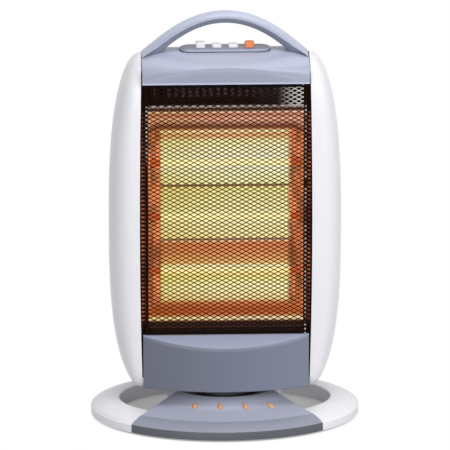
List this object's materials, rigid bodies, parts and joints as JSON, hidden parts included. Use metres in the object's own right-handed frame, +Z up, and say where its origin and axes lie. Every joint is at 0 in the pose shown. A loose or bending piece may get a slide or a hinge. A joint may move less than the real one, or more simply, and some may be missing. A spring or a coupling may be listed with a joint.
{
  "type": "halogen room heater",
  "caption": "Upright halogen room heater: three horizontal quartz tubes before a polished reflector, mesh grille, carry handle, push keys, swivelling on an oval ring base.",
  "frame": {"origin": "on the floor at the centre of the oval base, which is also the swing axis", "axes": "+Z up along the swing axis, +X to the right of the grille as seen from the front, -Y out of the grille"},
  "size_m": [0.346, 0.244, 0.5375],
  "materials": {
    "white_plastic": "moulded plastic, satin gloss",
    "grey_plastic": "blue-grey moulded plastic, satin gloss",
    "dark_grey_plastic": "dark blue-grey moulded plastic, satin gloss",
    "orange_plastic": "moulded plastic",
    "black_plastic": "moulded plastic",
    "cream_plastic": "heat-resistant thermoset",
    "grille_black": "heat-resistant black paint, semi-matt",
    "black_steel": "black powder coat",
    "zinc_steel": "zinc plated sheet",
    "reflector_metal": "polished, glowing with the tubes' light",
    "quartz": "clear quartz tube",
    "filament": "glowing tungsten",
    "ceramic": "white ceramic",
    "rubber": "matt rubber"
  },
  "bodies": {
    "base": {"base_ring": "white_plastic", "front_cover": "grey_plastic", "hub_drum": "black_plastic", "rear_bridge": "white_plastic", "base_plate": "zinc_steel", "pivot_post": "zinc_steel", "slotted_lever": "zinc_steel", "retaining_clip": "zinc_steel", "tip_switch": "cream_plastic", "rubber_feet": "rubber", "flame_marks": "orange_plastic"},
    "tip_plunger": {"tip_plunger": "black_plastic"},
    "heater": {"turntable": "black_plastic", "floor_pan": "black_plastic", "lower_panel": "dark_grey_plastic", "side_panel_left": "white_plastic", "side_panel_right": "white_plastic", "top_cover": "grey_plastic", "carry_handle": "grey_plastic", "control_plate": "grey_plastic", "switch_bank": "black_plastic", "rear_cover": "white_plastic", "grille_mesh": "grille_black", "grille_frame": "grille_black", "reflector": "reflector_metal", "upper_baffle": "black_steel", "upper_shelf": "zinc_steel", "lower_shelf": "zinc_steel", "rail_left": "black_steel", "rail_right": "black_steel", "tube_upper": "quartz", "tube_middle": "quartz", "tube_lower": "quartz", "filaments": "filament", "tube_caps": "ceramic", "tube_brackets": "zinc_steel", "thermal_cutout": "black_plastic", "terminal_block": "cream_plastic", "wiring_loom": "black_plastic", "swing_motor": "zinc_steel", "motor_bracket": "zinc_steel", "cord_gland": "black_plastic", "rear_screws": "zinc_steel"},
    "crank": {"crank": "zinc_steel", "motor_shaft": "zinc_steel"},
    "key_low": {"key_low": "white_plastic"},
    "key_medium": {"key_medium": "white_plastic"},
    "key_high": {"key_high": "white_plastic"},
    "key_swing": {"key_swing": "orange_plastic"}
  },
  "joints": [
    {"name": "swing", "type": "hinge", "parent": "base", "child": "heater", "pos_m": [0, 0, 0.036], "axis": [0, 0, 1], "range_deg": [-35, 35]},
    {"name": "crank_turn", "type": "hinge", "parent": "heater", "child": "crank", "pos_m": [0, -0.026, 0.061], "axis": [0, 0, 1], "range_deg": [-125.1, 125.1]},
    {"name": "tip_plunger_press", "type": "slide", "parent": "base", "child": "tip_plunger", "axis": [0, 0, -1], "range_m": [0, 0.006], "stiffness_N_per_m": 80, "springref_m": 0.007},
    {"name": "key_low_press", "type": "slide", "parent": "heater", "child": "key_low", "axis": [0, 0, -1], "range_m": [0, 0.0035], "stiffness_N_per_m": 400, "springref_m": -0.001},
    {"name": "key_medium_press", "type": "slide", "parent": "heater", "child": "key_medium", "axis": [0, 0, -1], "range_m": [-0.0027, 0.0008], "stiffness_N_per_m": 400},
    {"name": "key_high_press", "type": "slide", "parent": "heater", "child": "key_high", "axis": [0, 0, -1], "range_m": [-0.0027, 0.0008], "stiffness_N_per_m": 400},
    {"name": "key_swing_press", "type": "slide", "parent": "heater", "child": "key_swing", "axis": [0, 0, -1], "range_m": [0, 0.0035], "stiffness_N_per_m": 400, "springref_m": -0.001}
  ],
  "couplings": [
    {"joint": "crank_turn", "follows": "swing", "ratio": -3.5714}
  ]
}
